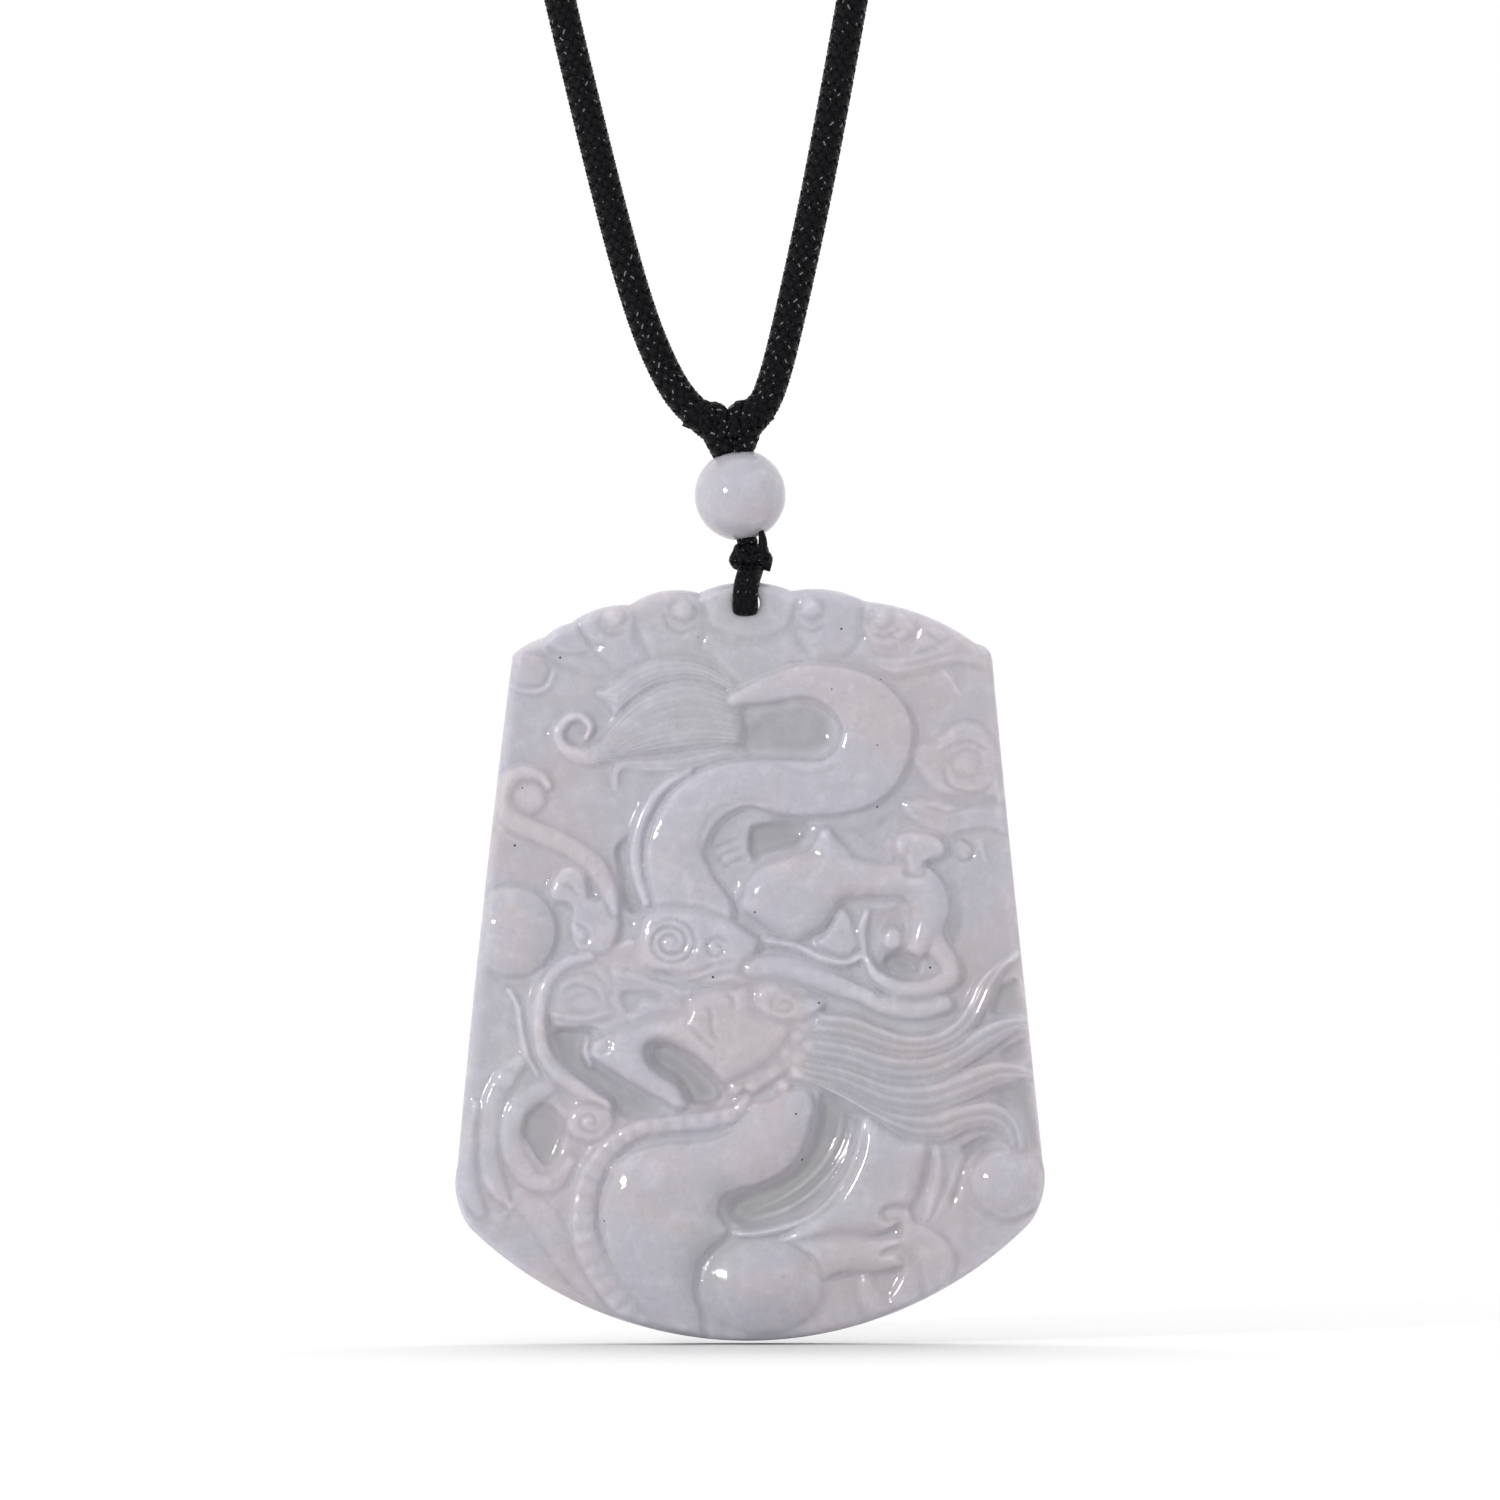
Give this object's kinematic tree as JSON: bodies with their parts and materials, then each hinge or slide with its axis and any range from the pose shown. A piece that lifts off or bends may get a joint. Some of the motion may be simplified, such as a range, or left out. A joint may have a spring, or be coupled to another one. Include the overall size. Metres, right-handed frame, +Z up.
{
  "type": "carved jade pendant on a braided cord necklace",
  "caption": "Flat carved stone plaque with a raised dragon and clouds, hung by a knotted loop and a round bead from a braided neck cord.",
  "frame": {"origin": "the middle of the neck cord behind the neck, where the necklace hangs", "axes": "+Z up, -Y towards the carved front, +X to the right seen from the front"},
  "size_m": [0.117, 0.1104, 0.3398],
  "materials": {
    "jade": "polished, slightly translucent lavender-grey jade",
    "bead_jade": "polished, slightly translucent pale jade",
    "cord": "black braided cord with a slight sheen"
  },
  "bodies": {
    "cord_assembly": {"neck_cord": "cord", "cord_wrap": "cord", "bead": "bead_jade", "bead_thread": "cord", "small_knot": "cord", "hanging_loop": "cord"},
    "pendant": {"plaque": "jade"}
  },
  "joints": [
    {"name": "plaque_swing", "type": "hinge", "parent": "cord_assembly", "child": "pendant", "pos_m": [-0.0003, -0.105, -0.281], "axis": [0, 1, 0], "range_deg": [-20, 20]}
  ]
}
